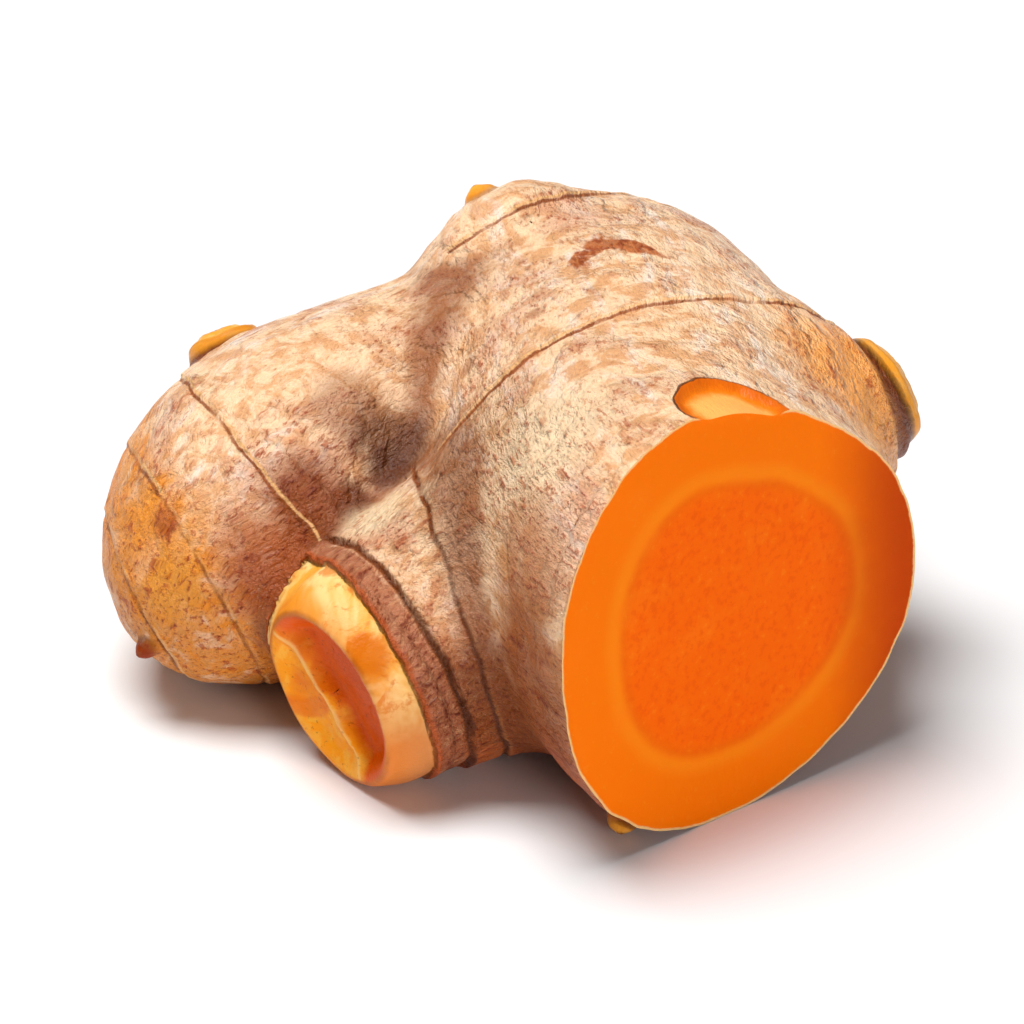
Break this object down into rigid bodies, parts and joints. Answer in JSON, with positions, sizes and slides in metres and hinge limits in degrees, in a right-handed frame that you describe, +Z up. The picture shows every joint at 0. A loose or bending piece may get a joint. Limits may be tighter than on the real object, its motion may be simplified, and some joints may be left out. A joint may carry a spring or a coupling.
{
  "type": "turmeric root",
  "caption": "Short branched piece of fresh turmeric root, cut through at one end, that lies on a worktop as an ingredient.",
  "frame": {"origin": "on the surface the root lies on, under the middle of its box", "axes": "+Z up from that surface; +Y from the cut end towards the rounded back end; +X away from the side finger, so the cut face looks towards +X and -Y"},
  "size_m": [0.0494, 0.053, 0.0272],
  "materials": {
    "turmeric": "dry, thin papery tan skin with fine lengthwise fibres and ring scars, over moist bright orange flesh at the cut"
  },
  "bodies": {
    "root": {"turmeric_root": "turmeric"}
  },
  "joints": []
}
